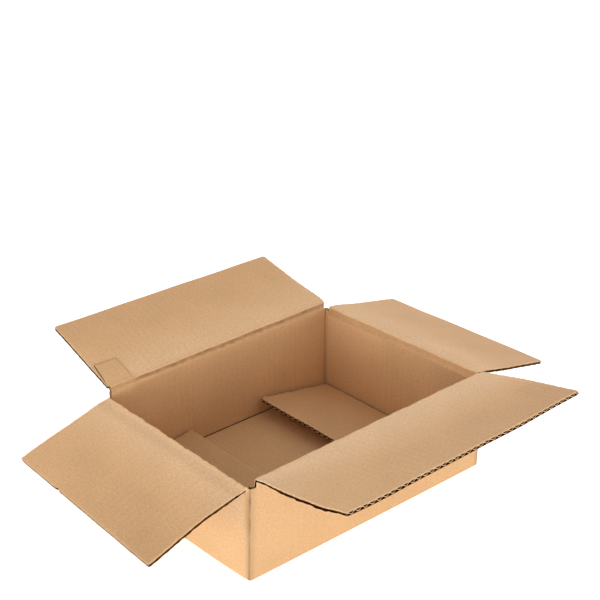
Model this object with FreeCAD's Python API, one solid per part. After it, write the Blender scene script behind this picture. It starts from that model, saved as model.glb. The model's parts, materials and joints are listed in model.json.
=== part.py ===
import FreeCAD, Part
import os
from math import floor
from FreeCAD import Vector

# An open carton of single-wall corrugated board: one slotted sheet, creased and folded into
# four walls, with four flaps at the top and four at the bottom. All sizes are in millimetres.
# +Z is up and the carton stands on z = 0, centred on the origin. Its long walls face -Y (front)
# and +Y (back), its end walls face -X (left) and +X (right).

# The board.
board = 4.0               # thickness over both paper faces
liner = 0.4               # one paper face
medium = 0.9              # the fluted paper between the faces, measured along the board
flute_pitch = 7.9         # one full wave of the fluted paper
crease_thickness = 1.2    # what a crease leaves of the board at its fold line
crease_length = 6.0       # how far from its fold line a crease thins the board
fold_clearance = 0.2      # room between the two sides of a fold when it is shut square

# The walls.
inside_length = 305.0
inside_width = 229.0
crease_height = 110.0     # fold lines of the long top flaps above the underside of the walls
crease_drop = 5.0         # how much lower the end walls are creased, so the long flaps close over
corner_radius = 2.5       # outside of the folded corners

# The flaps.
flap_gap = 13.0           # what the two long top flaps leave open between them when shut
seam_gap = 4.0            # the same for the two outer bottom flaps
long_flap_inset = 6.5     # from the outside of an end wall to the end of a long flap
short_flap_inset = 7.0    # from the outside of a long wall to the end of a short flap

# How far each flap stands from level, in degrees: above it is positive.
front_flap_angle = 11.0
back_flap_angle = 13.0
left_flap_angle = -19.0
right_flap_angle = -12.5
bottom_left_angle = 7.0
bottom_right_angle = 10.0

# The glued joint at the back left corner: a tab of the left wall on the inside of the back wall.
tab_width = 33.0
tab_thickness = 2.5       # crushed when it was glued
tab_rise = 33.0           # how far the tab runs on up the back flap, from the fold
tab_proud = 0.8           # how far that end stands out of the flap's face
tab_inset = 7.0           # from the end of the back flap to the tab
joint_setback = 1.0       # the back wall's raw end, from the outside of the left wall

# The strip of packing tape that holds the outer bottom flaps shut.
tape_width = 48.0
tape_thickness = 0.1
tape_turn_up = 50.0       # how far it runs up each end wall

outside_length = inside_length + 2 * board
outside_width = inside_width + 2 * board
underside = tape_thickness
floor_top = underside + board
long_fold_z = underside + crease_height
short_fold_z = long_fold_z - crease_drop
top_flap_length = (outside_width - flap_gap) / 2
outer_bottom_length = (outside_width - seam_gap) / 2
inner_bottom_length = top_flap_length - board
long_flap_width = outside_length - 2 * long_flap_inset
short_flap_width = outside_width - 2 * short_flap_inset

# Turns about Z from the front to each side of the carton.
FRONT, RIGHT, BACK, LEFT = 0, 90, 180, 270
X_AXIS = Vector(1, 0, 0)
Z_AXIS = Vector(0, 0, 1)
ORIGIN = Vector(0, 0, 0)


def block(x, y, z):
    """A box from its low and high ends along X, Y and Z."""
    corner = Vector(x[0], y[0], z[0])
    return Part.makeBox(x[1] - x[0], y[1] - y[0], z[1] - z[0], corner)


def prism(points, sweep):
    """A straight prism: a closed outline of points, pushed along a vector."""
    outline = Part.makePolygon(points + points[:1])
    return Part.Face(outline).extrude(sweep)


def flute_cells(width, length):
    """The air cells of the board, pointed up and down in turn, as prisms along +Y.

    They lie between x = -width / 2 and width / 2 and between the paper faces, z = 0 and board.
    """
    waves = floor((width - 2 * liner) / flute_pitch)
    start = -waves * flute_pitch / 2
    low, high = liner, board - liner
    half_base = (flute_pitch - medium) / 2
    cells = []
    for half_wave in range(2 * waves - 1):
        middle = start + (half_wave + 1) * flute_pitch / 2
        base, tip = (low, high - liner) if half_wave % 2 == 0 else (high, low + liner)
        outline = [
            Vector(middle - half_base, 0, base),
            Vector(middle + half_base, 0, base),
            Vector(middle, 0, tip),
        ]
        cells.append(prism(outline, Vector(0, length, 0)))
    return Part.makeCompound(cells)


def crease_profile(x, start):
    """The creased end of a level flap at x, from its fold at y = 0 to the whole board.

    The outer face is at z = 0, and the crease thins the board from the inner face.
    """
    return [
        Vector(x, 0, 0),
        Vector(x, -start, crease_thickness),
        Vector(x, -crease_length, board),
    ]


def top_flap(width):
    """A level top flap: its fold along X through the origin, its free edge towards -Y."""
    left = -width / 2
    tip = [Vector(left, -top_flap_length, board), Vector(left, -top_flap_length, 0)]
    outline = crease_profile(left, crease_thickness + fold_clearance) + tip
    flap = prism(outline, Vector(width, 0, 0))
    cells = flute_cells(width, top_flap_length - crease_length)
    cells.translate(Vector(0, -top_flap_length, 0))
    return flap.cut(cells)


def bottom_flap(width, length):
    """A level bottom flap: its wall end on the X axis, its free edge towards +Y."""
    flap = block((-width / 2, width / 2), (0, length), (0, board))
    cells = flute_cells(width, length - crease_length)
    cells.translate(Vector(0, crease_length, 0))
    return flap.cut(cells)


def place(shape, side, distance, height, angle=0.0):
    """Tip a shape's free edge up or down, then set it at a distance and height on one side."""
    shape.rotate(ORIGIN, X_AXIS, angle)
    shape.translate(Vector(0, -distance, height))
    shape.rotate(ORIGIN, Z_AXIS, side)
    return shape


def wall_distance(side):
    """From the middle of the carton to the outside of one of its walls."""
    return outside_width / 2 if side in (FRONT, BACK) else outside_length / 2


def walls():
    """The four walls as one tube, with the raw end of the back wall at the glued corner."""
    x, y = outside_length / 2, outside_width / 2
    outer = block((-x, x), (-y, y), (underside, short_fold_z))
    folds = [edge for edge in outer.Edges if is_folded(edge)]
    outer = outer.makeFillet(corner_radius, folds)
    raw_end = block((-x, -x + joint_setback), (y - board, y), (underside, short_fold_z))
    inner = block((-x + board, x - board), (-y + board, y - board), (underside, short_fold_z))
    return outer.cut(raw_end).cut(inner)


def is_folded(edge):
    """True for the outside edges that are folds: three corners and the bottom edges."""
    middle = edge.CenterOfMass
    at_glued_corner = middle.x < -outside_length / 2 + board and middle.y > outside_width / 2 - board
    upright = abs(middle.z - (underside + short_fold_z) / 2) < board
    at_bottom = abs(middle.z - underside) < board
    return at_bottom or (upright and not at_glued_corner)


def wall_top(side):
    """The strip of a long wall between the folds of the end walls and its own."""
    depth = wall_distance(side)
    x = long_flap_width / 2
    strip = block((-x, x), (-depth, -depth + board), (short_fold_z, long_fold_z))
    strip.rotate(ORIGIN, Z_AXIS, side)
    return strip


def crease_cut(side, width, fold_z):
    """What the crease along the top of a wall takes off its inner face."""
    x = -width / 2
    outline = [
        Vector(x, 0, 0),
        Vector(x, crease_thickness, -crease_thickness),
        Vector(x, board, -crease_length),
        Vector(x, 2 * board, -crease_length),
        Vector(x, 2 * board, board),
        Vector(x, 0, board),
    ]
    return place(prism(outline, Vector(width, 0, 0)), side, wall_distance(side), fold_z)


def glued_tab():
    """The tab's lower end, on the inside of the back wall below its crease."""
    x = -inside_length / 2
    y = inside_width / 2
    top = long_fold_z - crease_length
    return block((x, x + tab_width), (y - tab_thickness, y), (floor_top + board, top))


def tab_end():
    """The tab's upper end, pressed onto the inner face of a level back flap."""
    ends = (inside_length / 2 - tab_width, long_flap_width / 2 - tab_inset)
    reach = (-tab_rise, -crease_length)
    return block(ends, reach, (board, board + tab_proud))


def box_body():
    """The walls, the glued tab and the two outer bottom flaps, all of one sheet."""
    body = walls()
    for side in (FRONT, BACK):
        body = body.fuse(wall_top(side))
        body = body.cut(crease_cut(side, long_flap_width, long_fold_z))
        bottom = bottom_flap(long_flap_width, outer_bottom_length - board)
        body = body.fuse(place(bottom, side, wall_distance(side) - board, underside))
    for side in (RIGHT, LEFT):
        body = body.cut(crease_cut(side, short_flap_width, short_fold_z))
    return body.fuse(glued_tab()).removeSplitter()


def back_flap():
    """The back flap with the end of the glued tab on it."""
    flap = top_flap(long_flap_width).fuse(tab_end())
    return place(flap.removeSplitter(), BACK, wall_distance(BACK), long_fold_z, -back_flap_angle)


def plain_top_flap(side, width, fold_z, angle):
    """A top flap in its place, tipped to the angle it stands at."""
    return place(top_flap(width), side, wall_distance(side), fold_z, -angle)


def inner_bottom_flap(side, angle):
    """A short bottom flap, folded at the inside of its wall, its free edge sprung up."""
    flap = bottom_flap(short_flap_width, inner_bottom_length)
    flap.translate(Vector(0, 0, -board))
    return place(flap, side, wall_distance(side) - board, floor_top + board, angle)


def bottom_tape():
    """One strip of tape along the bottom seam, turned up on both end walls."""
    x, y = outside_length / 2, tape_width / 2
    length = (-x - tape_thickness, x + tape_thickness)
    outer = block(length, (-y, y), (0, tape_turn_up))
    inner = block((-x, x), (-y, y), (underside, tape_turn_up))
    return outer.cut(inner)


parts = {
    "box_body": box_body(),
    "bottom_tape": bottom_tape(),
    "front_flap": plain_top_flap(FRONT, long_flap_width, long_fold_z, front_flap_angle),
    "back_flap": back_flap(),
    "left_flap": plain_top_flap(LEFT, short_flap_width, short_fold_z, left_flap_angle),
    "right_flap": plain_top_flap(RIGHT, short_flap_width, short_fold_z, right_flap_angle),
    "bottom_left_flap": inner_bottom_flap(LEFT, bottom_left_angle),
    "bottom_right_flap": inner_bottom_flap(RIGHT, bottom_right_angle),
}

os.makedirs("parts", exist_ok=True)
for name, shape in parts.items():
    shape.exportStep(f"parts/{name}.step")
    print(name, "solids", len(shape.Solids), "faces", len(shape.Faces), "volume", round(shape.Volume))
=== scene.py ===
# %% [markdown]
# # An open carton of corrugated board
#
# A carton starts as a flat sheet of two smooth papers, the liners, glued to a wavy one, the fluting.
# This lesson makes it the same way: each panel is drawn flat, and a folding rule carries it to its
# place. Its coordinates are `s` along the fold line, `t` away from it and `w` through the board,
# from the outer face. The imported model gives the folds, and the walls, floor and tape hang on its
# carton body.

# %% Load the imported model
import json
import math
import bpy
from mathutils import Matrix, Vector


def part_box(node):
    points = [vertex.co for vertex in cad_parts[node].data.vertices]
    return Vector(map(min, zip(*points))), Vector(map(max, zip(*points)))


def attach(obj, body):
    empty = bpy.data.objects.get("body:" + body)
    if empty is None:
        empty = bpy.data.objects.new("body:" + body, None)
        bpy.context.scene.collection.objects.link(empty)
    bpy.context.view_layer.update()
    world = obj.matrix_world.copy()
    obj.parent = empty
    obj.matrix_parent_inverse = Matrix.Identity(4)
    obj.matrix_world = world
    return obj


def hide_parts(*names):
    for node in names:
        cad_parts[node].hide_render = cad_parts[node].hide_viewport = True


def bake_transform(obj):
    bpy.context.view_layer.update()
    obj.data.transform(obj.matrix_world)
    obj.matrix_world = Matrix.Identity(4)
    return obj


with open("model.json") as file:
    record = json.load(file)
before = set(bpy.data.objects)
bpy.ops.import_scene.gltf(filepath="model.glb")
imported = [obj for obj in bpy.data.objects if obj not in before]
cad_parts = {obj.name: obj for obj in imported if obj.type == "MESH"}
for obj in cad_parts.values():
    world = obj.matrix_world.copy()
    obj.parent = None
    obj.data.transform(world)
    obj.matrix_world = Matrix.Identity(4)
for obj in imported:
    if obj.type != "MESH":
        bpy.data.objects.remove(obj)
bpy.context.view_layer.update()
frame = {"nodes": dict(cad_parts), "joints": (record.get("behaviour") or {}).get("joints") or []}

from types import SimpleNamespace

import bmesh
import bpy
import numpy as np
from mathutils import Matrix, Vector

# %% [markdown]
# ## The board's own sizes
#
# Lengths are metres. The board is C flute, with papers a little thicker than real ones, so that a
# cut edge shows from a step away.

# %% Sizes of the board
BOARD = 0.004  # over both liners
LINER = 0.0005  # one liner
FLUTING = 0.0006  # the wavy paper
FLUTE_PITCH = 0.0079  # one full wave
CREASE = 0.006  # how far from its fold line a crease reaches
UP = np.array([0.0, 0.0, 1.0])

# %% [markdown]
# ## Reading the flaps
#
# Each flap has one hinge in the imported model, and the points farthest from it give its length and
# the angle it stands at. Top flaps turn about their outer face, bottom flaps about their inner one.


# %% Read each flap from its node and its joint
def read_flap(name, out):
    """Where a flap's fold is, how it stands and how large it is."""
    top = not name.startswith("bottom")
    joint = next(each for each in frame["joints"] if each["child"] == name)
    out = np.array(out, float)
    along = np.abs(np.cross(out, UP))
    spots = np.array([vertex.co for vertex in frame["nodes"][name].data.vertices]) - joint["pos_m"]
    reach, height = spots @ out, spots @ UP
    distance = np.hypot(reach, height)
    angles = np.arctan2(height, reach)[distance > 0.99 * distance.max()]
    lean = angles.min() if top else angles.max()
    turn = math.pi / 2 - lean if top else 0.0
    return SimpleNamespace(
        origin=np.array(joint["pos_m"]), out=out, along=along, top=top,
        lean=lean,  # the angle it stands at, above level
        turn=turn,  # the angle from the wall to the flap
        arc=turn * BOARD,  # how much inner liner runs over the fold
        length=(reach * math.cos(lean) + height * math.sin(lean)).max(),
        half=np.abs(spots @ along).max(),
    )


OUTWARDS = {  # the way from each flap's fold to its free edge
    "front_flap": (0, -1, 0), "back_flap": (0, 1, 0), "left_flap": (-1, 0, 0),
    "right_flap": (1, 0, 0), "bottom_left_flap": (1, 0, 0), "bottom_right_flap": (-1, 0, 0),
}
flaps = {name: read_flap(name, out) for name, out in OUTWARDS.items()}
for name, flap in flaps.items():
    print(f"{name}: {flap.length:.4f} long, {math.degrees(flap.lean):.1f} degrees")

# %% [markdown]
# ## Kraft paper
#
# Brown kraft has clouds, fibres and specks, and the flutes show through it as faint stripes. All of
# it is noise on the board's flat coordinates, kept as a UV map, so it stays with the paper through
# every fold. A point attribute, `wear_and_shade`, is above zero where the paper is scuffed pale or
# painted with light, and below zero where it is pressed dark or painted with shade.


# %% Small helpers for node trees
def feed(node, inputs):
    """Link each input of a node to a socket, or set it to a value."""
    for key, source in inputs.items():
        if isinstance(source, bpy.types.NodeSocket):
            node.id_data.links.new(source, node.inputs[key])
        else:
            node.inputs[key].default_value = source
    return node


def add_node(kind, inputs, **settings):
    """A new node, in the tree of the sockets that feed it."""
    sockets = [source for source in inputs.values() if isinstance(source, bpy.types.NodeSocket)]
    node = sockets[0].id_data.nodes.new(kind)
    for name, value in settings.items():
        setattr(node, name, value)
    return feed(node, inputs)


def maths(operation, *sources):
    """The output of a Math node."""
    return add_node("ShaderNodeMath", dict(enumerate(sources)), operation=operation).outputs[0]


def times(first, second):
    """A product, by a Math node."""
    return maths("MULTIPLY", first, second)


def plus(first, second):
    """A sum, by a Math node."""
    return maths("ADD", first, second)


def noise(spot, scale, detail, roughness=0.5):
    """Noise at a spot, about 0.5 on average."""
    inputs = {"Vector": spot, "Scale": scale, "Detail": detail, "Roughness": roughness}
    return add_node("ShaderNodeTexNoise", inputs).outputs["Fac"]


def stretched(spot, scale):
    """A spot scaled by a different amount along each axis."""
    return add_node("ShaderNodeMapping", {"Vector": spot, "Scale": scale}).outputs["Vector"]


def remap(value, low, high, new_low, new_high):
    """A value taken from one range to another."""
    inputs = {"Value": value, "From Min": low, "From Max": high, "To Min": new_low, "To Max": new_high}
    return add_node("ShaderNodeMapRange", inputs).outputs["Result"]


def linear(red, green, blue):
    """A screen colour, from 0 to 255, as linear light."""
    return [((channel / 255 + 0.055) / 1.055) ** 2.4 for channel in (red, green, blue)] + [1.0]


def colour_mix(factor, first, second):
    """From one colour to another, by a factor."""
    inputs = {"Factor": factor, "A": first, "B": second}
    return add_node("ShaderNodeMix", inputs, data_type="RGBA").outputs["Result"]


def shaded(colour, tone):
    """A colour made darker or paler by a tone."""
    return add_node("ShaderNodeVectorMath", {0: colour, "Scale": tone}, operation="SCALE").outputs[0]


def relief_normal(height, depth):
    """The normal of a fine relief."""
    return add_node("ShaderNodeBump", {"Height": height, "Distance": depth}).outputs["Normal"]


def new_material(name):
    """A new material, its node tree and its shader."""
    material = bpy.data.materials.new(name)
    material.use_nodes = True
    tree = material.node_tree
    return material, tree, tree.nodes["Principled BSDF"]


def flat_spot(tree):
    """A panel's flat coordinates."""
    node = tree.nodes.new("ShaderNodeUVMap")
    node.uv_map = "flat"
    return node.outputs["UV"]


# %% The kraft paper material
PRESSED_AND_SHADE_BROWN = (74, 42, 18)  # the bottom of a pressed line, and the dark end of painted shade
FIBRE_STRETCH = (170, 900, 1)  # fibres lie along s, so they are longer that way
SPECK_STRETCH = (420, 950, 1)
PATCH_STRETCH = (26, 7, 1)  # where the flutes show through, in long patches
PAPER_RELIEF = 0.00035


def kraft_paper(name, colour, rubbed, stripes, relief, gloss=0.25):
    """One paper: its colours, and how much the flutes show as stripes and as relief."""
    material, tree, shader = new_material(name)
    spot = flat_spot(tree)
    clouds = noise(spot, 22, 3)
    fibres = noise(stretched(spot, FIBRE_STRETCH), 1, 4, 0.65)
    grain = noise(spot, 560, 5, 0.8)
    specks = noise(stretched(spot, SPECK_STRETCH), 1, 1)

    along = add_node("ShaderNodeSeparateXYZ", {0: spot}).outputs["X"]
    wave = maths("COSINE", times(along, 2 * math.pi / FLUTE_PITCH))
    patches = noise(stretched(spot, PATCH_STRETCH), 1, 2)
    washboard = times(wave, remap(patches, 0.42, 0.62, 0.15, 1.0))

    tone = maths("MULTIPLY_ADD", clouds, 0.16, 0.92)
    for amount, source in ((0.4, fibres), (0.95, grain)):
        centred = maths("SUBTRACT", source, 0.5)
        tone = plus(tone, times(centred, amount))
    tone = plus(tone, times(washboard, stripes))
    tone = times(tone, remap(specks, 0.28, 0.34, 0.8, 1.0))

    # The attribute below pales the paper for real scuffs and for painted light, and darkens it towards
    # pressed brown for pressed lines and for painted shade.
    wear_and_shade = tree.nodes.new("ShaderNodeAttribute")
    wear_and_shade.attribute_name = "wear_and_shade"
    wear_and_shade = wear_and_shade.outputs["Fac"]
    rubbing_and_light = maths("MAXIMUM", wear_and_shade, 0.0)
    marked_amount = times(rubbing_and_light, remap(grain, 0.35, 0.65, 0.5, 1.0))
    paper = colour_mix(marked_amount, linear(*colour), linear(*rubbed))
    pressing_and_shade = maths("MAXIMUM", times(wear_and_shade, -1.0), 0.0)
    paper = colour_mix(pressing_and_shade, paper, linear(*PRESSED_AND_SHADE_BROWN))

    height = times(washboard, relief)
    for amount, source in ((0.16, fibres), (0.22, grain)):
        height = plus(height, times(source, amount))
    feed(shader, {
        "Base Color": shaded(paper, tone),
        "Roughness": remap(fibres, 0.3, 0.7, 0.66, 0.84),
        "Specular IOR Level": gloss,
        "Normal": relief_normal(height, PAPER_RELIEF),
    })
    return material


PAPERS = [
    kraft_paper("outside_paper", (216, 175, 128), (232, 200, 160), 0.008, 0.1),
    kraft_paper("inside_paper", (215, 170, 123), (238, 202, 163), 0.018, 0.28),
    # The fluting is darker than real fluting, partly its own tone and partly painted shade of the deep
    # flutes; the liners' hidden faces are near black, painted shade of the board's hollows.
    kraft_paper("fluting_paper", (54, 24, 8), (156, 100, 50), 0.0, 0.0, 0.0),
    kraft_paper("ply_paper", (38, 16, 6), (100, 62, 30), 0.0, 0.0, 0.0),
    kraft_paper("cut_paper", (224, 182, 134), (236, 202, 160), 0.0, 0.0),
]
OUTSIDE, INSIDE, WAVY, PLY, CUT = range(len(PAPERS))
print("papers:", [paper.name for paper in PAPERS])

# %% [markdown]
# ## The fluting, by Geometry Nodes
#
# Each point of a finely cut slab is lifted by a sine of its place along `s`, and seeded noise makes
# some waves lower than others. The tree ends by realizing instances and setting the material, and
# its result becomes a plain mesh at once, because all folding works on points.

# %% The tree that makes a wavy sheet
STEPS_PER_FLUTE = 10.0
UNEVENNESS = 0.12  # how much lower than the rest a wave can be
FLUTING_INPUTS = {"Width": "Float", "Length": "Float", "Seed": "Float", "Rows": "Int"}


def flute_tree():
    """A node tree that gives a flat panel's fluting."""
    tree = bpy.data.node_groups.new("fluting", "GeometryNodeTree")
    for name, kind in FLUTING_INPUTS.items():
        tree.interface.new_socket(name=name, in_out="INPUT", socket_type="NodeSocket" + kind)
    tree.interface.new_socket(name="Geometry", in_out="OUTPUT", socket_type="NodeSocketGeometry")
    given = tree.nodes.new("NodeGroupInput").outputs

    waves = maths("DIVIDE", given["Width"], FLUTE_PITCH)
    columns = maths("CEIL", times(waves, STEPS_PER_FLUTE))
    size = {"X": given["Width"], "Y": given["Length"], "Z": FLUTING}
    slab = add_node("GeometryNodeMeshCube", {
        "Size": add_node("ShaderNodeCombineXYZ", size).outputs[0],
        "Vertices X": columns,
        "Vertices Y": given["Rows"],
    })

    place = tree.nodes.new("GeometryNodeInputPosition").outputs[0]
    along = add_node("ShaderNodeSeparateXYZ", {0: place}).outputs["X"]
    wave = maths("SINE", times(maths("DIVIDE", along, FLUTE_PITCH), 2 * math.pi))
    seeded = {"Vector": place, "W": given["Seed"], "Scale": 60}
    seeded = add_node("ShaderNodeTexNoise", seeded, noise_dimensions="4D").outputs["Fac"]
    share = maths("SUBTRACT", 1.0, times(seeded, UNEVENNESS))
    reach = times(BOARD - 2 * LINER - FLUTING, share)
    lift = times(wave, times(reach, 0.5))
    moved = add_node("GeometryNodeSetPosition", {
        "Geometry": slab.outputs["Mesh"],
        "Offset": add_node("ShaderNodeCombineXYZ", {"Z": lift}).outputs[0],
    })

    plain = add_node("GeometryNodeRealizeInstances", {0: moved.outputs[0]})
    coated = {"Geometry": plain.outputs[0], "Material": PAPERS[WAVY]}
    coated = add_node("GeometryNodeSetMaterial", coated)
    add_node("NodeGroupOutput", {"Geometry": coated.outputs[0]})
    return tree


fluting_tree = flute_tree()
print("fluting tree:", len(fluting_tree.nodes), "nodes")


# %% Make one panel's fluting as flat points and faces
def add_object(name, data):
    """A new object, linked to the scene."""
    thing = bpy.data.objects.new(name, data)
    bpy.context.scene.collection.objects.link(thing)
    return thing


def fluting(width, start, end, rows, seed):
    """A layer of fluting, centred on s = 0, from start to end."""
    holder = add_object("fluting", bpy.data.meshes.new("fluting"))
    modifier = holder.modifiers.new("fluting", "NODES")
    modifier.node_group = fluting_tree
    values = {"Width": width, "Length": end - start, "Seed": float(seed), "Rows": rows}
    for item in fluting_tree.interface.items_tree:
        if item.in_out == "INPUT":
            modifier[item.identifier] = values[item.name]
    graph = bpy.context.evaluated_depsgraph_get()
    mesh = bpy.data.meshes.new_from_object(holder.evaluated_get(graph))
    points = np.array([vertex.co for vertex in mesh.vertices])
    faces = np.array([list(face.vertices) for face in mesh.polygons])
    bpy.data.objects.remove(holder)
    bpy.data.meshes.remove(mesh)
    at_an_end = np.ptp(points[faces][:, :, 1], axis=1) < 1e-6
    points += (0, (start + end) / 2, BOARD / 2)
    return {"points": points, "faces": faces, "papers": np.where(at_an_end, CUT, WAVY)}


# %% [markdown]
# ## A liner as a flat layer
#
# A liner is a closed sheet: the same grid of points on its lower and its upper face, and a rim
# between them, which a cut shows, so it has a paper of its own. The grid is finer near the cuts.

# %% Make one liner as flat points and faces
EDGE_ZONE = 0.006  # how far from a cut edge the grid is fine


def spaced(low, high, step, fine, margin=EDGE_ZONE):
    """Places from low to high, a step apart, or a fine step near the ends."""
    inner = np.linspace(low + margin, high - margin, max(2, round((high - low - 2 * margin) / step)))
    ends = np.linspace(0, margin, round(margin / fine) + 1)[:-1]
    return np.concatenate([low + ends, inner, high - ends[::-1]])


def sheet(s, t, low, high, papers):
    """A closed sheet over a grid, with a paper for its lower face, upper face and rim."""
    if t.ndim == 1:
        t = np.broadcast_to(t, (len(s), len(t)))
    count, rows = t.shape
    across = np.repeat(s[:, None], rows, axis=1)
    levels = [np.stack([across, t, np.full_like(across, depth)], axis=-1) for depth in (low, high)]
    index = np.arange(count * rows).reshape(count, rows)
    quad = [index[:-1, :-1], index[1:, :-1], index[1:, 1:], index[:-1, 1:]]
    lower = np.stack(quad, axis=-1).reshape(-1, 4)
    upper = lower[:, ::-1] + count * rows
    rim = np.concatenate([index[:, 0], index[-1, 1:], index[-2::-1, -1], index[0, -2::-1]])
    this, onward = rim[:-1], rim[1:]
    edge = np.stack([this, this + count * rows, onward + count * rows, onward], axis=-1)
    return {
        "points": np.concatenate(levels).reshape(-1, 3),
        "faces": np.concatenate([lower, upper, edge]),
        "papers": np.repeat(papers, [len(lower), len(upper), len(edge)]),
    }


def liners(s, outer_rows, inner_rows, rim=CUT):
    """The outer and the inner liner; rim is the paper of the outer one's cuts."""
    outer = sheet(s, outer_rows, 0.0, LINER, (OUTSIDE, PLY, rim))
    return [outer, sheet(s, inner_rows, BOARD - LINER, BOARD, (PLY, INSIDE, CUT))]


# %% Fold layers into one piece
SHARP_ANGLE = math.radians(35)


def flat_mesh(name, points, faces, flat, materials):
    """A smooth mesh with sharp rims, which keeps its flat coordinates as a UV map."""
    mesh = bpy.data.meshes.new(name)
    mesh.from_pydata(points.tolist(), [], faces.tolist(), shade_flat=False)
    for material in materials:
        mesh.materials.append(material)
    corners = np.zeros(len(mesh.loops), np.int32)
    mesh.loops.foreach_get("vertex_index", corners)
    uv = mesh.uv_layers.new(name="flat")
    uv.data.foreach_set("uv", flat[corners][:, :2].astype(np.float32).ravel())
    work = bmesh.new()
    work.from_mesh(mesh)
    bmesh.ops.recalc_face_normals(work, faces=work.faces)
    work.to_mesh(mesh)
    work.free()
    mesh.set_sharp_from_angle(angle=SHARP_ANGLE)
    return mesh


def make_piece(name, layers, place, wear_and_shade):
    """Join flat layers into one mesh; place() folds it and wear() marks it."""
    flat = np.concatenate([layer["points"] for layer in layers])
    counts = np.cumsum([0] + [len(layer["points"]) for layer in layers])
    faces = np.concatenate([layer["faces"] + base for layer, base in zip(layers, counts)])
    papers = np.concatenate([layer["papers"] for layer in layers])
    mesh = flat_mesh(name, place(*flat.T), faces, flat, PAPERS)
    mesh.polygons.foreach_set("material_index", papers.astype(np.int32))
    marked_amount = mesh.attributes.new("wear_and_shade", "FLOAT", "POINT")
    marked_amount.data.foreach_set("value", wear_and_shade(*flat.T).astype(np.float32))
    print(name, len(mesh.polygons), "faces")
    return add_object(name, mesh)


# %% [markdown]
# ## Unevenness
#
# Nothing on a used carton is quite straight. Sines with seeded phases give edges and faces their
# waviness, and a smooth step fades each effect in.


# %% Smooth steps and seeded waviness
def fade(value, start, end):
    """0 up to start, 1 from end on, smooth between; start may be above end."""
    share = np.clip((value - start) / (end - start), 0, 1)
    return share * share * (3 - 2 * share)


def waviness(place, seed, lengths):
    """A seeded curve between -1 and 1, the mean of a few sine waves."""
    rng = np.random.default_rng(seed)
    waves = [np.sin(2 * math.pi * place / length + rng.uniform(0, 2 * math.pi)) for length in lengths]
    return sum(waves) / len(lengths)


print("waviness at 0, 5 and 10 mm:", waviness(np.array([0, 0.005, 0.01]), 1, (0.012, 0.005)).round(2))

# %% [markdown] ## The flaps  The knife thins a flap's sides and rounds its corners.

# %% How a flap's board departs from a flat slab
CUT_MARGIN = 0.004  # how far from a cut the board is knocked down
SIDE_CRUSH = 0.22  # how much thinner it is at a cut side
TIP_CRUSH = 0.06  # and at the free edge
CREST = 0.22  # the radius of a crease's crest, as a share of its board
EASE = 0.016  # how far onto a flap its board is thinner than elsewhere
GROOVE = 0.001  # how deep a fold in the floor is pressed
GROOVE_WIDTH = 0.0016
RISE_ON_WALL = 0.014  # how far down the wall a broken crease is felt
BULGE = 0.0054  # how far the foot of the left wall has sprung out
SHORT_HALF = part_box("box_body")[1][1]


def torn_sides(flap, s, t, w):
    """How deep a flap's sides are torn, each liner in its own way."""
    right = (s > 0).astype(int)
    inner = (w > BOARD / 2).astype(int)
    bite = np.zeros_like(s)
    for end in (0, 1):
        for ply in (0, 1):
            torn = 0.5 * waviness(t, flap.seed + end, (0.031, 0.017))
            torn = torn + 0.5 * waviness(t, flap.seed + 7 * ply, (0.0113, 0.0071))
            bite += (right == end) * (inner == ply) * flap.rough[end] * (1 + torn) / 2
    return bite


def trim(flap, s, t, w):
    """Cut a flat flap: ragged edges, rounded corners, crushed board."""
    half, length, seed = flap.half, flap.length, flap.seed
    side = fade(np.abs(s), half - CUT_MARGIN, half)
    tip = fade(t, length - CUT_MARGIN, length)
    bite = torn_sides(flap, s, t, w)
    free_bite = flap.rough[2] * (1 + waviness(s, seed + 2, (0.043, 0.017, 0.008))) / 2
    nick_at, nick_width, nick_depth = flap.nick
    free_bite += nick_depth * fade(np.abs(s - nick_at), nick_width / 2, nick_width / 4)
    s, t = round_corners(flap, s, t)
    out_of_square = np.interp(s, (-half, half), flap.stretch)
    run = np.clip(t / length, 0, 1)
    left_end, right_end = (root + (tip_end - root) * run for root, tip_end in flap.spread)
    widening = np.where(s > 0, right_end, -left_end) * np.abs(s) / half * fade(t, -0.003, 0.0)
    s = s - np.sign(s) * side * bite + widening
    t = t - tip * free_bite + out_of_square * run - flap.root(s) * fade(t, 0.03, 0.0)
    crush = 1 - (SIDE_CRUSH + 0.12 * waviness(t, seed + 9, (0.0113, 0.0061))) * side - TIP_CRUSH * tip
    hanging = flap.loose * side * (s < 0) * (w < 2 * LINER) * fade(np.abs(t / length - 0.55), 0.45, 0.2)
    hanging = hanging * (1 + 0.5 * waviness(t, seed + 3, (0.023, 0.011)))
    return s, t, BOARD / 2 + (w - BOARD / 2) * crush - hanging


def round_corners(flap, s, t):
    """Pull the points near the free corners onto a quarter circle."""
    half, length = flap.half, flap.length
    for sign, radius in zip((-1, 1), flap.corners):
        a = np.clip((sign * s - (half - radius)) / radius, 0, None)
        b = np.clip((t - (length - radius)) / radius, 0, None)
        near = (a > 0) & (b > 0)
        ratio = np.where(near, np.maximum(a, b) / np.maximum(np.hypot(a, b), 1e-9), 1.0)
        s = np.where(near, sign * (half - radius + radius * a * ratio), s)
        t = np.where(near, length - radius + radius * b * ratio, t)
    return s, t


# %% The folding rule
def crest_path(u, turn):
    """Reach and height at u of the way over a fold, for a board one unit thick."""
    leg = (1 - CREST) * math.tan(turn / 2)
    run = u * (2 * leg + CREST * turn)
    angle = np.clip((run - leg) / CREST, 0, turn)
    beyond = np.maximum(run - leg - CREST * turn, 0)
    reach = -1 + CREST * (1 - np.cos(angle)) + beyond * math.sin(turn)
    height = np.minimum(run, leg) + CREST * np.sin(angle) + beyond * math.cos(turn)
    return reach, height


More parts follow.
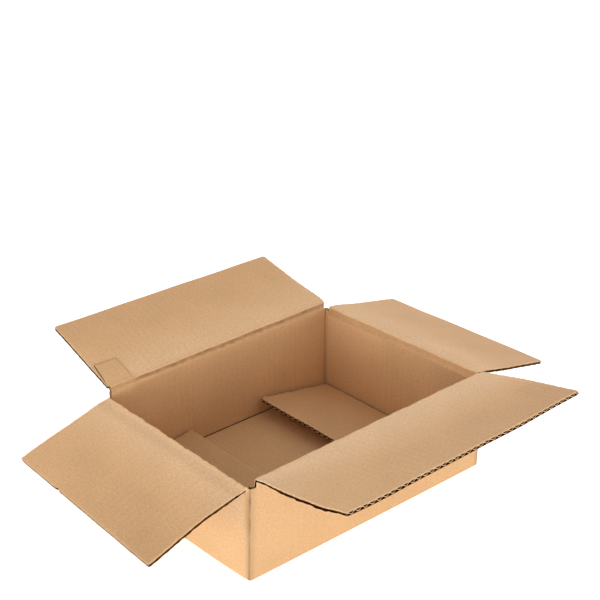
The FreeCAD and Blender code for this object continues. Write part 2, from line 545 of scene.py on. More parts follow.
def fold_flap(flap):
    """The rule that carries a flat flap to where it stands."""
    lean, top, arc = flap.lean, flap.top, flap.arc

    def place(s, t, w):
        from_root = t
        s, t, w = trim(flap, s, t, w)
        if top:
            dents = 1 + 0.25 * waviness(s, flap.seed + 4, (0.031, 0.013, 0.0071))
            thin = np.where(t > 0, fade(t, EASE, 0.0), fade(t, -arc - CREASE, -arc))
            squeeze = flap.crushed * dents * thin
            reach_of_w, height_of_w = crest_path(np.clip(1 + t / arc, 0, 1), flap.turn)
        else:
            squeeze = GROOVE * fade(from_root, GROOVE_WIDTH, 0.0)
            reach_of_w, height_of_w = -math.sin(lean), math.cos(lean)
        depth = w - (0.0 if top else BOARD) - squeeze * w / BOARD + flap.bend(s, np.maximum(t, 0))
        run = np.maximum(t, 0) if top else t
        below = np.minimum(t + arc, 0) if top else 0.0
        reach = run * math.cos(lean) + depth * reach_of_w
        height = run * math.sin(lean) + depth * height_of_w + below
        onward = np.interp(s, (-flap.half, flap.half), flap.rise_run)
        height += crease_rise(flap, s) * np.where(t > 0, fade(t, onward, 0), fade(below, -RISE_ON_WALL, 0))
        spread = np.outer(s, flap.along) + np.outer(reach, flap.out) + np.outer(height, UP)
        return flap.origin + spread

    return place


# %% How each flap bends
def calm(s, t):
    """A face that is all but flat."""
    return 0.0003 * waviness(s + 0.7 * t, 31, (0.19, 0.087)) * fade(t, 0.004, 0.03)


def curled_side(s, t):
    """The front flap: its near side bent down, its far side a little up."""
    along = fade(t, 0.004, 0.04) * (1 - 1.4 * fade(t, 0.08, 0.112))
    drop = 0.002 * fade(-s, 0.112, 0.15) * along
    return calm(s, t) - drop + 0.0016 * fade(s, 0.05, 0.15) * fade(t, 0.0, 0.06)


def lifted_rear(s, t):
    """The left bottom flap, sprung up a little more at its rear."""
    return calm(s, t) + 0.0025 * fade(s, 0.0, 0.11) * fade(t, 0.01, 0.1)


def crease_rise(flap, s):
    """How far a top flap's crease is broken above its fold line at s."""
    level = np.interp(s, (-0.15, 0.15), flap.rise)
    return flap.top * (level + 0.0004 * waviness(s, flap.seed + 100, (0.083, 0.029)))


def foot_bulge(y):
    """How far the foot of the left wall has sprung out at y."""
    return BULGE * (1 - np.clip(y / SHORT_HALF, -1, 1) ** 2)


# %% Marks on a flap's paper: scuffs, tears, painted light and painted shade
SHADE_UNDER_CREASE = 0.14  # painted shade on the inside paper just under a crease
CREST_RUB_AND_HIGHLIGHT = 0.45  # how pale the very top of a crest is: partly scuffed paper, partly a painted highlight
FRAYED = 0.006  # how far in from a loose side the fluting is frayed pale


def crease_shadow(s, t, flap):
    """1 in the strip just under a crest, where a shadow line is painted along the pressed score."""
    t = t + 0.0005 * waviness(s, flap.seed + 10, (0.0131, 0.0057))
    arc = flap.arc
    return fade(t, -0.5 * arc, -0.68 * arc) * fade(t, -arc - 0.0036, -arc - 0.0022)


def flap_wear_and_shade(flap):
    """The rule for a flap's marks: pale cuts and frayed fluting, a crest partly scuffed and partly painted
    with a highlight, painted light near the fold, and painted shade under the crest and over the face.
    """
    half, length, arc, seed = flap.half, flap.length, flap.arc, flap.seed

    def wear_and_shade(s, t, w):
        if flap.top:
            # A painted highlight along the crest, partly scuffed paper.
            crest = CREST_RUB_AND_HIGHLIGHT * fade(np.abs(t + arc / 2), 0.0018, 0.0005)
            # A painted shadow line in the pressed strip under the crest.
            line = crease_shadow(s, t, flap)
            # Pale near the fold on the inside: partly scuffed paper, partly painted light, brighter near
            # the hinge.
            rubbed = flap.rubbed * fade(t, 0.07, 0.003) * fade(t, -arc / 2, 0.0)
            shade_reach = fade(t, 0.02, 0.1)
            # Painted shade on the inside just under the crease.
            under = SHADE_UNDER_CREASE * fade(t, -0.5 * arc, -0.8 * arc)
        else:
            # Bottom flaps: a painted shade line along the fold, where the flap meets the wall.
            crest, line, rubbed, shade_reach, under = 0.0, fade(t, 0.003, 0.0016), 0.0, 1.0, 0.0
        patchy = 1 + 0.4 * waviness(s, seed + 6, (0.037, 0.011, 0.0053))
        torn = 1 + 0.6 * waviness(t, seed + 8, (0.0083, 0.0047, 0.0031))
        side = torn * fade(np.abs(s), half - 0.0022, half)
        tip = fade(t, length - 0.0016, length)
        inside = w > BOARD / 2
        pale = np.maximum(crest * patchy, rubbed * inside) + flap.torn * np.maximum(side, 0.7 * tip)
        opened = (w > LINER) & (w < BOARD - LINER) & (s < 0) & (flap.loose > 0)
        frayed = 0.6 * opened * fade(np.abs(s), half - FRAYED, half - FRAYED / 3)
        # Painted shade over the face, set for each end of the flap; on a top flap it fades in away from
        # the fold.
        dull = np.interp(s, (-half, half), flap.dull) * shade_reach
        return np.maximum(pale, frayed) - inside * (flap.line * patchy * line + dull + under)
    return wear_and_shade


# %% [markdown]
# ## One table for six flaps
#
# The same rules make all six. Pairs are for the ends at low and high `s`.
#
# - `rough`: how deep the sides and the free edge are torn; `corners`: the corners' radii.
# - `spread`: how far the sides stand out at the fold and at the free edge; `stretch`: how far the
#   free edge does at its two ends; `nick`: place, width and depth of a nick in it.
# - `rise`: how far above its line the crease is broken; `rise_run`: how far out that is felt.
# - `bend`: the face's shape; `root`: the fold's shift; `loose`: how far the outer paper hangs.
# - `crushed`: how much thinner the crease is; `line`: how dark the painted shade line under it is.
# - `rubbed`, `torn`, `dull`: pale near the fold, partly scuffed and partly painted light; pale cuts;
#   painted shade over the face.

# %% What is particular to each flap
LOOKS = {
    "front_flap": dict(
        seed=11, rough=(0.001, 0.0004, 0.0003), corners=(0.001, 0.0008), bend=curled_side,
        spread=((0.0, -0.0015), (0.005, 0.0056)), stretch=(0.0005, 0.0024), loose=0.0009,
        rise=(-0.0002, 0.0004), rubbed=0.6, dull=(0.02, 0.16), torn=0.8,
    ),
    "back_flap": dict(
        seed=23, rough=(0.0005, 0.0006, 0.0003), corners=(0.0012, 0.0014), line=0.38,
        spread=((0.0022, -0.0014), (0.0012, 0.0032)), stretch=(-0.002, 0.0018),
        rise=(-0.0026, 0.003), rise_run=(0.105, 0.06), rubbed=0.42, dull=(0.07, 0.06),
    ),
    "left_flap": dict(
        seed=37, rough=(0.0006, 0.0006, 0.0004), corners=(0.0014, 0.0012), crushed=0.002,
        spread=((0.0, -0.0012), (0.0008, -0.002)), stretch=(-0.0012, -0.0016), rubbed=0.48,
        rise=(-0.0044, -0.0072), rise_run=(0.06, 0.11), nick=(0.041, 0.006, 0.0016),
        dull=(0.22, 0.02),
    ),
    "right_flap": dict(
        seed=41, rough=(0.0005, 0.0005, 0.0003), corners=(0.0014, 0.0012), line=0.06,
        spread=((0.0, -0.0018), (0.002, 0.006)), stretch=(0.0022, 0.0022),
        rise=(0.0016, 0.0008), rise_run=(0.05, 0.05), dull=(0.05, 0.02),
    ),
    "bottom_left_flap": dict(
        seed=53, rough=(0.0008, 0.0008, 0.0004), bend=lifted_rear, stretch=(-0.003, -0.008),
        root=foot_bulge, line=1.0, dull=(0.12, 0.12),
    ),
    "bottom_right_flap": dict(seed=67, rough=(0.001, 0.0032, 0.0004), line=1.0, torn=1.2),
}
PLAIN = dict(
    corners=(0.0012, 0.0012), bend=calm, nick=(0.0, 0.001, 0.0), spread=((0, 0), (0, 0)),
    stretch=(0.0, 0.0), rise=(0.0, 0.0), rise_run=(0.016, 0.016), root=np.zeros_like,
    loose=0.0, crushed=0.0008, rubbed=0.4, line=0.16, dull=(0.04, 0.04), torn=0.45,
)
print("flaps with a crease broken off its line:", [name for name in LOOKS if "rise" in LOOKS[name]])

# %% Build every flap
FLUTES_FROM = 0.0118  # where a top flap's flutes begin
END_GAP = 0.0003  # how far the fluting stays behind the liners' cut sides


def over_crease(arc):
    """Places on the wall and, closer together, over a crest."""
    return np.concatenate([np.linspace(-arc - CREASE, -arc, 5)[:-1], np.linspace(-arc, 0, 22)[:-1]])


def near_fold(s, t):
    """The cells of a liner's grid that lie over a fold."""
    return ((np.abs(s[:-1, None]) < s[-1] - 0.004) & (t[None, :-1] < FLUTES_FROM)).ravel()


def flap_layers(flap):
    """The two liners and the fluting of one flap, flat."""
    half, length, arc = flap.half, flap.length, flap.arc
    s = spaced(-half, half, 0.004, 0.001)
    outer_rows = inner_rows = spaced(0.0, length, 0.002, 0.001)
    if flap.top:
        outer_rows = np.concatenate([np.linspace(-arc - CREASE, -arc - LINER, 6), outer_rows])
        inner_rows = np.concatenate([over_crease(arc), inner_rows])
    # The outer liner's cut sides take the dark fluting paper: the raw edge's brown flutes, and painted
    # shade in the crevice beside it.
    outer, inner = liners(s, outer_rows, inner_rows, rim=WAVY)
    if flap.top:
        # The faces inside the board take the near-black ply paper, painted shade of the board's hollows,
        # but not where a shut fold may show them.
        over_fold = near_fold(s, outer_rows)
        outer["papers"][len(over_fold):2 * len(over_fold)][over_fold] = OUTSIDE
        over_fold = near_fold(s, inner_rows)
        inner["papers"][:len(over_fold)][over_fold] = INSIDE
    if flap.loose:
        left_side = len(outer_rows) - 1
        outer["papers"][-left_side:] = CUT
    start = FLUTES_FROM if flap.top else CREASE
    waves = fluting(2 * half - 2 * END_GAP, start, length - 0.0001, 14, flap.seed)
    return [outer, inner, waves]


for name, look in LOOKS.items():
    flap = flaps[name]
    vars(flap).update(PLAIN, **look)
    flap.piece = make_piece(name + "_board", flap_layers(flap), fold_flap(flap), flap_wear_and_shade(flap))

# %% [markdown]
# ## The walls
#
# The walls are one strip of board, from the glued tab round the left, the front, the right and the
# back to its raw end. Two outlines in plan fold it: a point finds its place on the outer one and
# its neighbour on the inner one, and goes between them by its depth. Beside each fold the scoring
# wheel has left a pressed line.

# %% The strip's two outlines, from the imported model
body_low, body_high = (np.array(corner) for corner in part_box("box_body"))
UNDERSIDE = body_low[2]
TAB_WIDTH = 0.033
TAB_BOARD = 0.0015  # crushed when it was glued
TAB_SLOT = 0.0065  # from the tab's fold to where it rises with the back wall
RAW_END = 0.001  # from the outside of the left wall to the end of the back wall
FOLD_RADIUS = 0.0025
SCORE_AT = 0.005  # from a folded corner to the pressed line beside it
x_out, y_out = body_high[0], body_high[1]
x_in, y_in = x_out - BOARD, y_out - BOARD


def outline(x, y, tab_y):
    """The strip's corners in plan, from the tab's edge to the raw end."""
    ends = (-x_in + TAB_WIDTH, tab_y), (-x_out + RAW_END, y)
    return np.array([ends[0], (-x, tab_y), (-x, -y), (x, -y), (x, y), ends[1]])


outer_corners = outline(x_out, y_out, y_in)
inner_corners = outline(x_in, y_in, y_in - TAB_BOARD)
runs = np.linalg.norm(np.diff(outer_corners, axis=0), axis=1)
directions = np.diff(outer_corners, axis=0) / runs[:, None]
corner_at = np.concatenate([[0], np.cumsum(runs)])
STRIP_FOLDS = corner_at[1:5]
STRIP_END = corner_at[-1]
TAB_FOLD, LEFT_FOLD, RIGHT_FOLD, BACK_FOLD = STRIP_FOLDS
print("the strip is", round(STRIP_END, 3), "m long with folds at", STRIP_FOLDS.round(3))

long_top = flaps["front_flap"].origin[2] - UNDERSIDE
short_top = flaps["left_flap"].origin[2] - UNDERSIDE
# Each top flap, its middle along the strip, its fold's height and which way it is measured.
TOP_FLAPS = (
    (flaps["left_flap"], TAB_FOLD + y_in, short_top, -1),
    (flaps["front_flap"], LEFT_FOLD + x_out, long_top, 1),
    (flaps["right_flap"], RIGHT_FOLD + y_out, short_top, 1),
    (flaps["back_flap"], BACK_FOLD + x_out, long_top, -1),
)


# %% Fold the strip round its corners
def on_outline(s):
    """Each point's panel, and its place on the rounded outer outline."""
    panel = np.clip(np.searchsorted(corner_at, s, side="right") - 1, 0, len(runs) - 1)
    spots = outer_corners[panel] + (s - corner_at[panel])[:, None] * directions[panel]
    for corner in range(1, len(runs)):
        near = np.abs(s - corner_at[corner]) < FOLD_RADIUS
        angle = (s[near] - corner_at[corner]) / FOLD_RADIUS * math.pi / 4 + math.pi / 4
        before, after = directions[corner - 1], directions[corner]
        centre = outer_corners[corner] + FOLD_RADIUS * (after - before)
        rounded = np.outer(np.sin(angle), before) - np.outer(np.cos(angle), after)
        spots[near] = centre + FOLD_RADIUS * rounded
    return panel, spots


def inward(panel, spots):
    """The point of the inner outline that faces each outer point."""
    start, end = inner_corners[panel], inner_corners[panel + 1]
    run = np.sum((spots - start) * directions[panel], axis=1)
    run = np.clip(run, 0, np.linalg.norm(end - start, axis=1))
    return start + run[:, None] * directions[panel]


def pressed(s):
    """1 in the lines scored beside the folds."""
    total = np.zeros_like(s)
    for fold_at in (LEFT_FOLD, RIGHT_FOLD, BACK_FOLD):
        away = np.abs(np.abs(s - fold_at) - SCORE_AT)
        total = np.maximum(total, fade(away, 0.0016, 0.0))
    return total


# %% Where the walls are out of true
SCORE_INSIDE = 0.0012  # how deep a scored line is, on each face
SCORE_OUTSIDE = 0.0001
RAW_PINCH = 0.5  # how much thinner the knife has left the raw end
SET_BACK = 0.0041  # how far the foot of the near left corner stands back
LIFTED = 0.0009  # and how far it is off the ground
FORWARD = -0.6  # how far the near right one stands forward, as a share of SET_BACK


def place_wall(s, t, w):
    """Carry the strip round the corners in plan, and up from the underside."""
    panel, outer = on_outline(s)
    inner = inward(panel, outer)
    share = w / BOARD
    share = share - pressed(s) * SCORE_INSIDE / BOARD * share
    share = share + pressed(s) * SCORE_OUTSIDE / BOARD * (1 - w / BOARD)
    share = share + RAW_PINCH * fade(s, STRIP_END - 0.005, STRIP_END) * (0.5 - share)
    in_fold = np.clip(1 - t / FOLD_RADIUS, 0, 1)
    share = share + (1 - np.sqrt(1 - in_fold ** 2)) * FOLD_RADIUS / BOARD * (1 - w / BOARD)
    plan = outer + share[:, None] * (inner - outer)
    height = UNDERSIDE + t
    for flap, middle, fold_at, way in TOP_FLAPS:
        spot = way * (s - middle)
        rise = crease_rise(flap, spot) * fade(t - fold_at, -RISE_ON_WALL, 0)
        height += np.where(np.abs(spot) < flap.half, rise, 0)
    low = np.clip(1 - t / long_top, 0, 1)
    front = (LEFT_FOLD - 0.1, LEFT_FOLD, RIGHT_FOLD, RIGHT_FOLD + 0.1)
    shifted = np.interp(s, front, (0, 1, FORWARD, 0))
    plan[:, 0] -= foot_bulge(plan[:, 1]) * (panel == 1) * low
    plan[:, 1] += SET_BACK * shifted * low
    height += LIFTED * np.maximum(shifted, 0) * low
    return np.column_stack([plan, height])


# %% The layers of the strip
SLIVER = 0.00002  # the width of the step between two heights along the top
CORNER_NOTCH = 0.011  # how much lower the slots at the glued corner are cut


def strip_places():
    """Places along the strip, closer at the folds and the flaps' ends."""
    ends = [middle + side * flap.half for flap, middle, _, _ in TOP_FLAPS for side in (-1, 1)]
    steps = [end for end in ends + [TAB_FOLD - TAB_SLOT] if end < STRIP_END]
    places = [np.linspace(0, STRIP_END, 380)]
    places += [fold_at + np.linspace(-0.008, 0.008, 41) for fold_at in STRIP_FOLDS]
    places += [(step_at - SLIVER, step_at + SLIVER) for step_at in steps]
    joined = np.unique(np.concatenate(places).round(6))
    return joined[(joined >= 0) & (joined <= STRIP_END)]


def wall_top(s):
    """The strip's top edge: under a flap's crease, or the bottom of a slot."""
    top = np.full_like(s, short_top)
    top[(s < LEFT_FOLD - 0.1) | (s > STRIP_END - 0.1)] = short_top - CORNER_NOTCH
    top[s < TAB_FOLD - TAB_SLOT] = long_top - CREASE
    for flap, middle, fold_at, _ in TOP_FLAPS:
        top[np.abs(s - middle) < flap.half] = fold_at - CREASE
    return top


def strip_rows(s, start, count):
    """Heights from a liner's start to its top edge."""
    fold = np.linspace(start, FOLD_RADIUS, 6)[:-1] if start < FOLD_RADIUS else np.array([])
    above = max(start, FOLD_RADIUS)
    share = np.concatenate([np.linspace(0, 0.88, count), [0.92, 0.96, 1.0]])
    rest = above + share[None, :] * (wall_top(s)[:, None] - above)
    return np.concatenate([np.broadcast_to(fold, (len(s), len(fold))), rest], axis=1)


def wall_layers():
    """Both liners and the fluting of the strip, flat."""
    s = strip_places()
    waves = fluting(STRIP_END - 2 * END_GAP, BOARD, 1.0, 8, 5)
    along, up, _ = waves["points"].T
    along += STRIP_END / 2
    up[:] = BOARD + (up - BOARD) / (1.0 - BOARD) * (wall_top(along) - 0.0002 - BOARD)
    return [*liners(s, strip_rows(s, 0.0, 12), strip_rows(s, BOARD, 10)), waves]


# %% Marks, painted light and painted shade on the walls, and the walls themselves
HINGE_HEIGHT = flaps["bottom_left_flap"].origin[2] - UNDERSIDE


def beside_folds(s, far, near, shift=0.0):
    """1 at each fold of the strip, 0 from far away on."""
    return sum(fade(np.abs(s - fold_at + shift), far, near) for fold_at in STRIP_FOLDS)


def wall_wear_and_shade(s, t, w):
    """Pale cut end and foot, a thin pressed line at each corner, painted shade in and beside the folds and
    under the creases, and painted light near two corners.
    """
    foot = fade(t, 0.003, 0.0)
    raw = fade(s, STRIP_END - 0.003, STRIP_END)
    # Painted shade: a broad strip beside each outer corner, darker on the side before the fold.
    before = sum(fade(fold_at - s, 0.007, 0.001) * (s < fold_at) for fold_at in STRIP_FOLDS)
    streaks = 1 + 0.9 * waviness(t, 71, (0.031, 0.012, 0.0087))
    left_wall = fade(s, TAB_FOLD + 0.02, TAB_FOLD + 0.04) * fade(s, LEFT_FOLD - 0.006, LEFT_FOLD - 0.012)
    # Painted light: paler paper near the top of the left wall's outside by the near corner, under the left
    # flap.
    painted_light_near_corner = fade(t, 0.04, 0.085) * fade(s, LEFT_FOLD - 0.11, LEFT_FOLD - 0.04)
    outer = 0.2 * foot + 0.5 * raw + left_wall * (0.05 + 0.85 * painted_light_near_corner)
    outer = outer - 0.24 * streaks * beside_folds(s, 0.0026, 0.0, 0.0008)
    # Painted shade beside each outer corner.
    outer = outer - 0.2 * beside_folds(s, 0.01, 0.0) - 0.12 * before

    end_wall = ((s > TAB_FOLD) & (s < LEFT_FOLD)) | ((s > RIGHT_FOLD) & (s < BACK_FOLD))
    # Painted shade: dark lines in the inside corners and where the inner bottom flaps meet the end walls,
    # and darker pressed score lines.
    hinge = end_wall * fade(np.abs(t - HINGE_HEIGHT), 0.0022, 0.0008)
    lines = 0.8 * beside_folds(s, 0.0011, 0.0004) + 0.3 * pressed(s) + 0.6 * hinge
    # Painted shade near the top of the inside walls, under the creases.
    under = SHADE_UNDER_CREASE * fade(t, wall_top(s) - 0.05, wall_top(s))
    # Painted shade on the right wall's inside towards its front end, and painted light on its far end by
    # the back corner, where the shade under the crease is also lifted.
    near_end_shade = (s > RIGHT_FOLD) * fade(s, RIGHT_FOLD + 0.12, RIGHT_FOLD)
    far_end_light = (s < BACK_FOLD) * fade(s, BACK_FOLD - 0.13, BACK_FOLD - 0.02) * fade(t, 0.02, 0.08)
    inner = 0.5 * raw + 0.22 * far_end_light - lines - under * (1 - far_end_light) - 0.18 * near_end_shade
    return np.where(w < BOARD / 2, outer, inner)


walls = make_piece("wall_strip", wall_layers(), place_wall, wall_wear_and_shade)

# %% [markdown]
# ## The outer bottom flaps
#
# Two long flaps lie flat under the walls and almost meet along the middle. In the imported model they
# are one node with the walls, so they ride with them.

# %% The floor of the box
SEAM_GAP = 0.004
floor_half = flaps["front_flap"].half


def bottom_layers(seed):
    """One outer bottom flap, flat, from its wall to the seam."""
    end = y_in - SEAM_GAP / 2
    s = spaced(-floor_half, floor_half, 0.004, 0.002)
    under = spaced(-BOARD + FOLD_RADIUS * 0.6, end, 0.006, 0.002)
    over = spaced(0.0, end, 0.004, 0.002)
    waves = fluting(2 * floor_half - 2 * END_GAP, 0.0, end - END_GAP, 6, seed)
    return [*liners(s, under, over), waves]


def place_bottom(side):
    """The rule that lays a flap under the box; side is -1 in front, 1 behind."""
    def place(s, t, w):
        dip = 0.00012 * (waviness(s, 83, (0.0158, 0.031)) - 1) * fade(w, LINER, BOARD - LINER)
        groove = GROOVE * fade(t, GROOVE_WIDTH, 0.0) * (w > BOARD / 2)
        shifted = np.interp(s, (-x_out, x_out), (1, FORWARD)) * np.clip(1 - t / y_in, 0, 1) * (side < 0)
        height = UNDERSIDE + w + dip - groove + LIFTED * np.maximum(shifted, 0)
        return np.column_stack([s, side * (y_in - t) + SET_BACK * shifted, height])
    return place


def bottom_wear_and_shade(s, t, w):
    """Pale at the seam, and painted shade at the foot of the wall."""
    seam = fade(t, y_in - SEAM_GAP / 2 - 0.002, y_in - SEAM_GAP / 2)
    return 0.4 * seam - 0.5 * fade(t, 0.0018, 0.0004) * (w > BOARD / 2)


bottoms = [
    make_piece("floor_front", bottom_layers(71), place_bottom(-1), bottom_wear_and_shade),
    make_piece("floor_back", bottom_layers(72), place_bottom(1), bottom_wear_and_shade),
]

# %% [markdown]
# ## The end of the glued tab
#
# The tab runs on past the crease, pressed onto the inner face of the back flap, and its edge has
# lifted a little. It is made in the back flap's own flat coordinates and folded with it.

# %% The tab's end on the back flap
back = flaps["back_flap"]
TAB_RISE = 0.033
TAB_INSET = 0.004
TAB_PROUD = 0.0008
TAB_LIFT = 0.0009  # how far its outer edge has come away
TAB_SLANT = 0.0036  # how much nearer its side comes to the flap's own at the crease
TAB_GRID = (0.003, 0.001, 0.004)


def tab_layers():
    """The tab's end, on the back flap's face and over its crease."""
    s = spaced(-back.half + TAB_INSET, -x_in + TAB_WIDTH, *TAB_GRID)
    t = np.concatenate([over_crease(back.arc), spaced(0, TAB_RISE, *TAB_GRID)])
    # The tab's cut rim takes the dark fluting paper, a painted shade line along its edge.
    layer = sheet(s, t, BOARD - 0.0001, BOARD + TAB_PROUD, (PLY, INSIDE, WAVY))
    across, along, depth = layer["points"].T
    from_left = (s[-1] - across) / (s[-1] - s[0])
    across -= TAB_SLANT * from_left * np.clip(1 - along / TAB_RISE, 0, 1)
    sunk = fade(along, -back.arc, -back.arc - CREASE)
    loose = fade(from_left, 0.75, 1.0) * fade(along, 0.0, 0.008)
    depth += (depth > BOARD) * (sunk * (TAB_BOARD - TAB_PROUD) + TAB_LIFT * loose)
    return [layer]


def tab_shade(s, t, w):
    """Painted shade: a shadow line where the tab's edges have come away, and under its crease."""
    edge = np.minimum(-x_in + TAB_WIDTH - s, TAB_RISE - t)
    below = fade(t, -0.5 * back.arc, -0.8 * back.arc)
    edge_shade = 0.45 * fade(edge, 0.0012, 0.0004) * (t > -back.arc / 2)
    return -edge_shade - SHADE_UNDER_CREASE * below - 0.18 * crease_shadow(s, t, back)


tab_end = make_piece("tab_end", tab_layers(), fold_flap(back), tab_shade)

# %% [markdown]
# ## The tape under the seam
#
# One strip of brown tape holds the outer bottom flaps shut and turns up on both end walls. The film
# has a low gloss and faint stretch lines, and its ends are cut saw-toothed.

# %% The tape's material
TAPE_COLOUR = (192, 146, 94)
TAPE_RELIEF = 0.00008


def tape_film():
    """Smooth brown film with stretch lines and a few dull patches."""
    material, tree, shader = new_material("tape_film")
    spot = flat_spot(tree)
    lines = noise(stretched(spot, (9, 700, 1)), 1, 3)
    patches = noise(spot, 60, 3)
    halves = [remap(source, 0.3, 0.7, 0.45, 0.53) for source in (lines, patches)]
    feed(shader, {
        "Base Color": shaded(linear(*TAPE_COLOUR)[:3], plus(*halves)),
        "Roughness": remap(patches, 0.35, 0.7, 0.24, 0.42),
        "Normal": relief_normal(lines, TAPE_RELIEF),
    })
    return material


# %% The tape itself
tape_low, tape_high = (np.array(corner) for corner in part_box("bottom_tape"))
TAPE_TEETH = 0.0024  # from one tooth of the cut to the next
TOOTH = 0.001
TAPE_THICK = tape_high[0] - x_out
TAPE_BEND = FOLD_RADIUS + TAPE_THICK
TAPE_STRAIGHT = tape_high[0] - TAPE_BEND  # from the middle of the seam to the bend
TAPE_QUARTER = TAPE_BEND * math.pi / 2


def tape_path(u):
    """Reach and height of the tape at u, and the way it faces."""
    angle = np.clip((u - TAPE_STRAIGHT) / TAPE_BEND, 0, math.pi / 2)
    reach = np.minimum(u, TAPE_STRAIGHT) + TAPE_BEND * np.sin(angle)
    height = TAPE_BEND * (1 - np.cos(angle)) + np.maximum(u - TAPE_STRAIGHT - TAPE_QUARTER, 0)
    return reach, height, np.sin(angle), np.cos(angle)


def tape_grid():
    """Places along and across the tape; its two ends are cut into teeth."""
    end = TAPE_STRAIGHT + TAPE_QUARTER + tape_high[2] - TAPE_BEND
    bend = TAPE_STRAIGHT + np.linspace(0, TAPE_QUARTER, 10)
    u = np.unique(np.concatenate([np.linspace(0, end, 60), bend]).round(7))
    u = np.concatenate([-u[:0:-1], u])
    teeth = round(2 * tape_high[1] / TAPE_TEETH)
    v = np.linspace(tape_low[1], tape_high[1], 2 * teeth + 1)
    notched = np.repeat(u[:, None], len(v), axis=1)
    notch = np.where(np.arange(len(v)) % 2 == 0, TOOTH, 0.0)
    notched[0] += notch
    notched[-1] -= notch
    return u, v, notched


def tape_mesh():
    """A thin strip along the underside and up both end walls."""
    u, v, notched = tape_grid()
    side = np.sign(notched)
    across = np.broadcast_to(v, notched.shape)
    reach, height, sine, cosine = tape_path(np.abs(notched))
    pushed = fade(np.abs(notched), TAPE_STRAIGHT - 0.03, TAPE_STRAIGHT)
    sprung = (side < 0) * foot_bulge(across) * pushed * np.clip(1 - height / long_top, 0, 1)
    levels = [
        np.stack([side * (reach - depth * sine) - sprung, across, height + depth * cosine], axis=-1)
        for depth in (0.0, TAPE_THICK * 0.8)
    ]
    flat = sheet(u, v, 0.0, 1.0, (OUTSIDE, OUTSIDE, OUTSIDE))
    points = np.concatenate(levels).reshape(-1, 3)
    return flat_mesh("tape_strip", points, flat["faces"], flat["points"], [tape_film()])


tape = add_object("tape_strip", tape_mesh())
print("tape:", len(tape.data.polygons), "faces")

# %% [markdown]
# ## Hanging the pieces on the model's bodies
#
# Each flap replaces its plain node, and its points are baked into place. The walls, floor and tape
# hang on the carton body.


for name, flap in flaps.items():
    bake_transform(flap.piece)
    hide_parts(name)

for piece in [walls] + bottoms:
    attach(piece, "carton")
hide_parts("box_body")
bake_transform(tab_end)
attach(tape, "carton")
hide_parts("bottom_tape")
print("flaps that bend at a fold:", len(flaps), "and the tab's end with one of them")

# %% [markdown]
# ## Floor, light and camera
#
# The box stands in a white studio tent. The floor, the tent's bright lower walls and one long low
# lamp light the outer walls, and the inside gets light only from the dimmer ceiling.


# %% A white floor that keeps a soft shadow
def seen_directly(tree):
    """1 for what the camera sees, straight or reflected, 0 for other light."""
    rays = tree.nodes.new("ShaderNodeLightPath").outputs
    seen = maths("MAXIMUM", rays["Is Camera Ray"], rays["Is Glossy Ray"])
    return maths("MAXIMUM", seen, rays["Is Transmission Ray"])


def white_floor():
    """A diffuse white that the camera sees brighter, so lit parts are pure white."""
    material, tree, shader = new_material("white_floor")
    white = {"Base Color": (0.86, 0.86, 0.86, 1), "Roughness": 0.9, "Specular IOR Level": 0.0}
    feed(shader, white)
    glow = add_node("ShaderNodeEmission", {"Strength": times(seen_directly(tree), 0.66)})
    both = add_node("ShaderNodeAddShader", {0: shader.outputs[0], 1: glow.outputs[0]})
    feed(tree.nodes["Material Output"], {"Surface": both.outputs[0]})
    return material


FLOOR_HALF = 8.0
floor_mesh = bpy.data.meshes.new("studio_floor")
floor_corners = np.array([(-1, -1, 0), (1, -1, 0), (1, 1, 0), (-1, 1, 0)]) * FLOOR_HALF
floor_mesh.from_pydata(floor_corners.tolist(), [], [(0, 1, 2, 3)])
floor_mesh.materials.append(white_floor())
studio_floor = add_object("studio_floor", floor_mesh)
print("floor:", 2 * FLOOR_HALF, "m wide")

# %% The world: bright walls of a studio tent and a dimmer ceiling
CEILING = 0.61  # the tent's brightness overhead
HORIZON = 4.2  # how much brighter it is at the height of the box
NARROW = 16.0  # how quickly that fades with height
BEHIND_CAMERA = 0.2  # how much of it is missing on the camera's side
CAMERA_SIDE = (0.2, -0.98, 0.0)


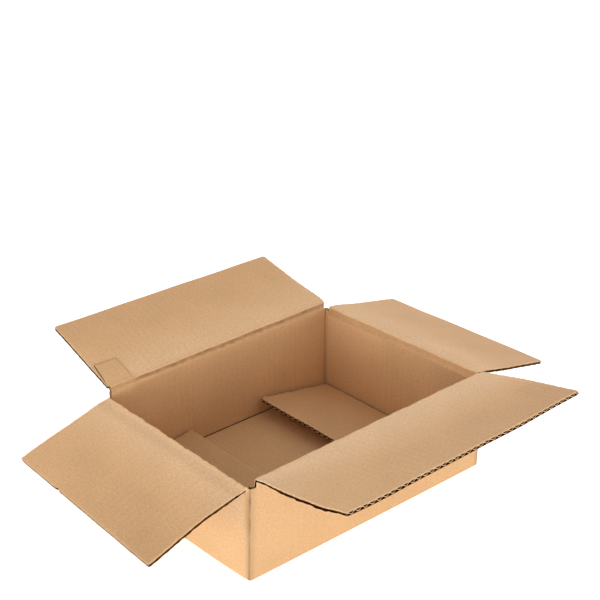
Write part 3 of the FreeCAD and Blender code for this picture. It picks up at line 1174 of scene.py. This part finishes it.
def studio_tent():
    """A world whose light fades with height; the camera sees plain white."""
    world = bpy.data.worlds.new("studio")
    world.use_nodes = True
    tree = world.node_tree
    direction = tree.nodes.new("ShaderNodeTexCoord").outputs["Generated"]
    rise = add_node("ShaderNodeSeparateXYZ", {0: direction}).outputs["Z"]
    level = maths("SUBTRACT", 1.0, times(rise, rise))
    band = times(maths("POWER", level, NARROW), HORIZON)
    facing = {0: direction, 1: CAMERA_SIDE}
    facing = add_node("ShaderNodeVectorMath", facing, operation="DOT_PRODUCT").outputs["Value"]
    missing = times(maths("MAXIMUM", facing, 0.0), BEHIND_CAMERA)
    band = times(band, maths("SUBTRACT", 1.0, missing))
    light = plus(band, CEILING)
    mixed = add_node("ShaderNodeMix", {"Factor": seen_directly(tree), "A": light, "B": 1.0})
    feed(tree.nodes["Background"], {"Color": (1, 1, 1, 1), "Strength": mixed.outputs["Result"]})
    return world


bpy.context.scene.world = studio_tent()
print("world:", CEILING, "overhead and", HORIZON, "more at the horizon")

# %% A long low lamp
LAMP_AT = (-1.9, -1.3, 0.07)
light = bpy.data.lights.new("low_lamp", "AREA")
light.shape = "RECTANGLE"
light.size, light.size_y, light.energy = 1.8, 0.12, 14
lamp = add_object("low_lamp", light)
aim = (Vector((0, 0, 0.05)) - Vector(LAMP_AT)).to_track_quat("-Z", "Y").to_matrix().to_4x4()
lamp.matrix_world = Matrix.Translation(LAMP_AT) @ aim
print("lamp:", light.energy, "W")

# %% The camera
AZIMUTH, ELEVATION, ROLL = (math.radians(angle) for angle in (-38.18, 28.27, -1.52))
CAMERA_AT = (-0.6433, -0.7194, 0.6309)
camera_data = bpy.data.cameras.new("camera")
camera_data.lens = 63.93
camera_data.shift_x, camera_data.shift_y = 0.1083, 0.1333
camera = add_object("camera", camera_data)
camera.matrix_world = (
    Matrix.Translation(CAMERA_AT)
    @ Matrix.Rotation(AZIMUTH, 4, "Z")
    @ Matrix.Rotation(math.pi / 2 - ELEVATION, 4, "X")
    @ Matrix.Rotation(ROLL, 4, "Z")
)
bpy.context.scene.camera = camera
bpy.context.scene.view_settings.view_transform = "Standard"
print("camera: lens", round(camera_data.lens, 2), "mm at", CAMERA_AT)
